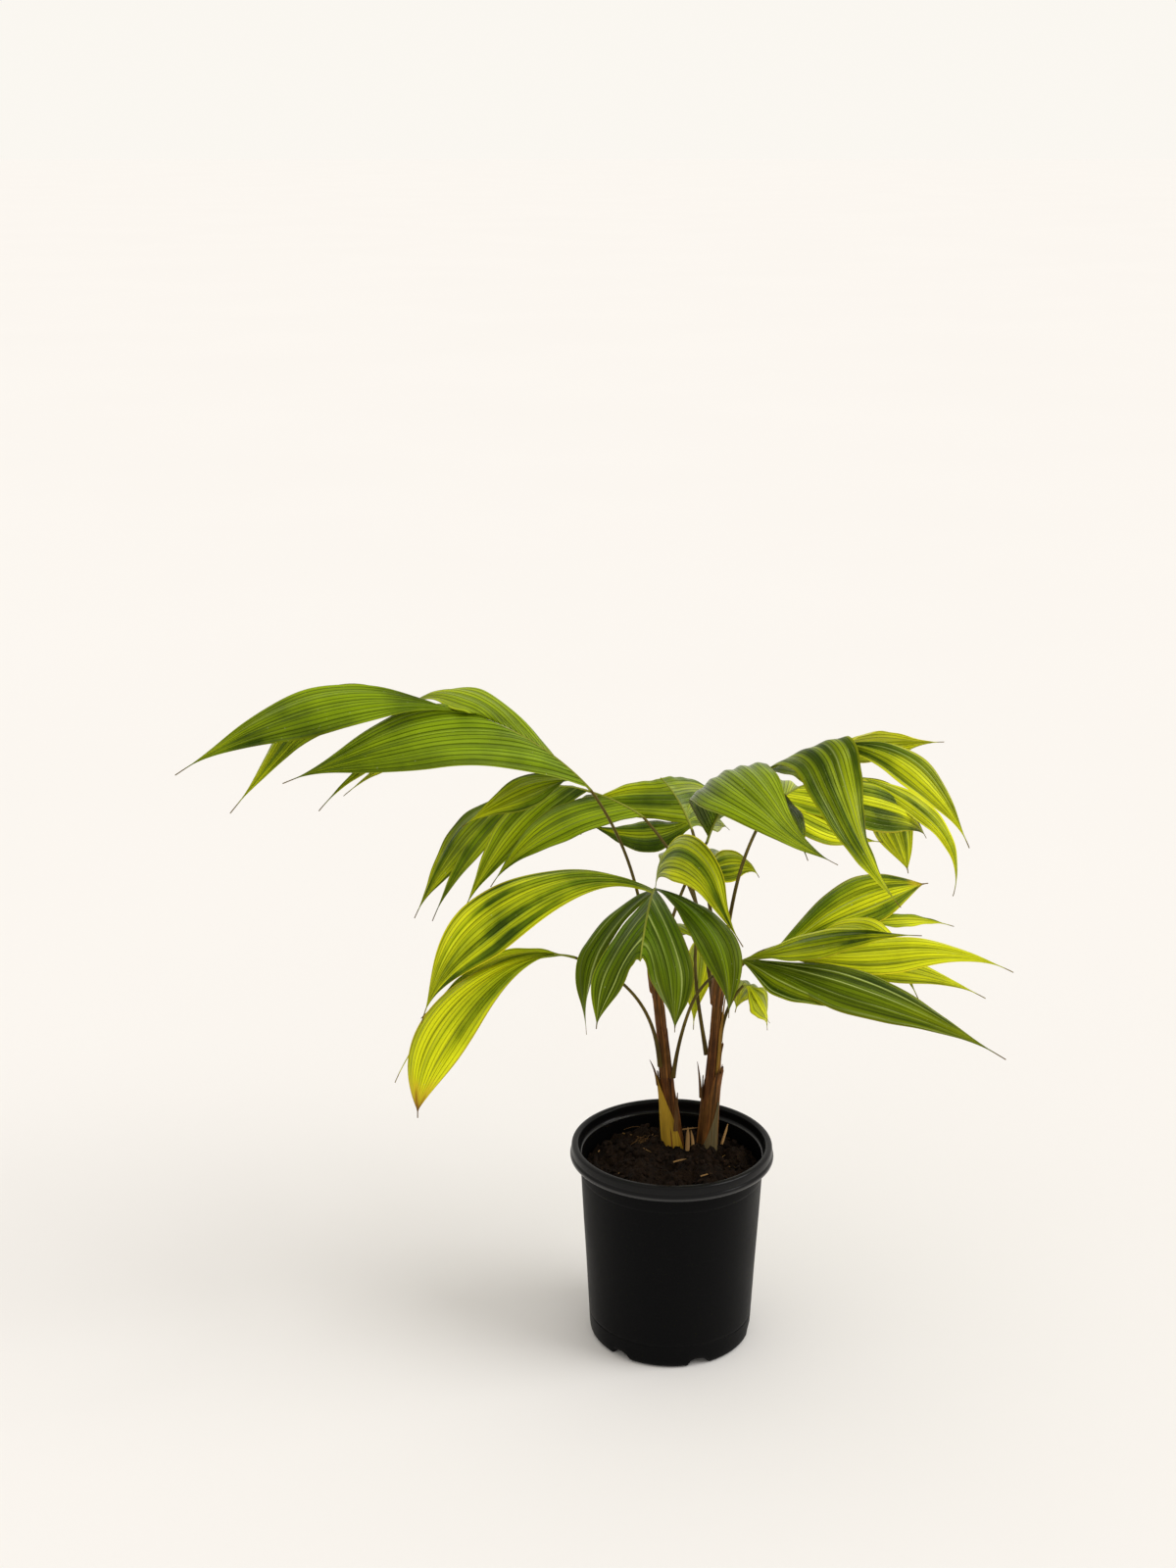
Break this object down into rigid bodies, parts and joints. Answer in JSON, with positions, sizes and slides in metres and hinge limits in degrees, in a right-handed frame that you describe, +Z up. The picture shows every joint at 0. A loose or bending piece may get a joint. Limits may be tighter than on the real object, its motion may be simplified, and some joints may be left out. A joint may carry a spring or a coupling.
{
  "type": "potted palm",
  "caption": "Young clumping palm with leaning brown stems and broad, pleated, drooping green fronds in a round black nursery pot.",
  "frame": {"origin": "centre of the pot's underside, on the surface it stands on", "axes": "+Z up along the pot's axis; -Y towards the picture's viewer, +X to the viewer's right"},
  "size_m": [0.7872, 0.3757, 0.6844],
  "materials": {
    "pot_plastic": "satin black moulded plastic",
    "soil": "dark damp crumbly potting mix",
    "stem": "brown fibrous sheaths, matt",
    "dead_stub": "dry brown fibre, matt",
    "stalk": "brown to olive, semi-matt",
    "leaf": "pleated green leaf, semi-gloss"
  },
  "bodies": {
    "root": {"frond_a_blade": "leaf", "frond_a_stalk": "stalk", "frond_b_blade": "leaf", "frond_b_stalk": "stalk", "frond_c_blade": "leaf", "frond_c_stalk": "stalk", "frond_d_blade": "leaf", "frond_d_stalk": "stalk", "frond_e_blade": "leaf", "frond_e_stalk": "stalk", "frond_f_blade": "leaf", "frond_f_stalk": "stalk", "frond_g_blade": "leaf", "frond_g_stalk": "stalk", "frond_h_blade": "leaf", "frond_h_stalk": "stalk", "frond_i_blade": "leaf", "frond_i_stalk": "stalk", "frond_j_blade": "leaf", "frond_j_stalk": "stalk", "frond_k_blade": "leaf", "frond_k_stalk": "stalk", "frond_l_blade": "leaf", "frond_l_stalk": "stalk", "pot": "pot_plastic", "soil": "soil", "stem_1": "stem", "stem_2": "stem", "stub_1": "dead_stub", "stub_2": "dead_stub", "stub_3": "dead_stub"}
  },
  "joints": []
}
